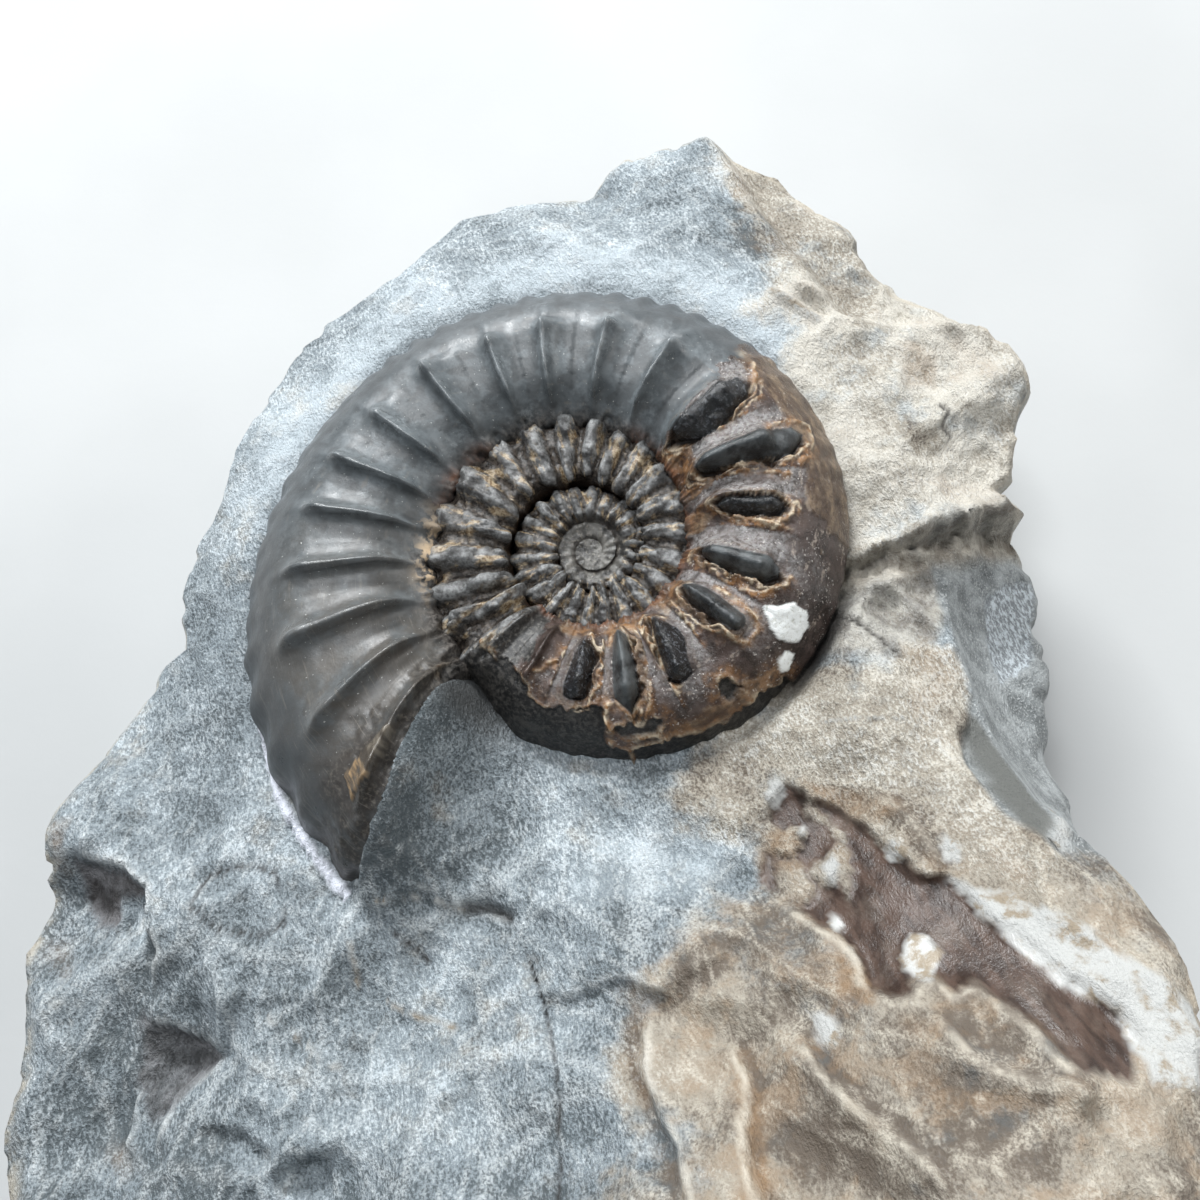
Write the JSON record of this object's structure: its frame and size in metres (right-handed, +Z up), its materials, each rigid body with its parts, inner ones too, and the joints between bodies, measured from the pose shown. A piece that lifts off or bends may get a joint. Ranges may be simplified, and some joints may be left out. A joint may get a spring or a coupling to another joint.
{
  "type": "fossil ammonite",
  "caption": "Ribbed, loosely coiled ammonite shell in its loose block of grey limestone, lying on the block's flat back.",
  "frame": {"origin": "point of the block's flat base straight below the shell's coiling axis", "axes": "+Z up, along the shell's coiling axis; +Y from the shell's broken end towards the block's far end, its longest side"},
  "size_m": [0.0769, 0.0967, 0.0496],
  "materials": {
    "matrix": "rough split limestone, grey with tan and brown weathering and white calcite",
    "ammonite": "smooth dark grey, glossy brown and black where the shell is worn through on the ribs"
  },
  "bodies": {
    "root": {"matrix": "matrix", "ammonite": "ammonite"}
  },
  "joints": []
}
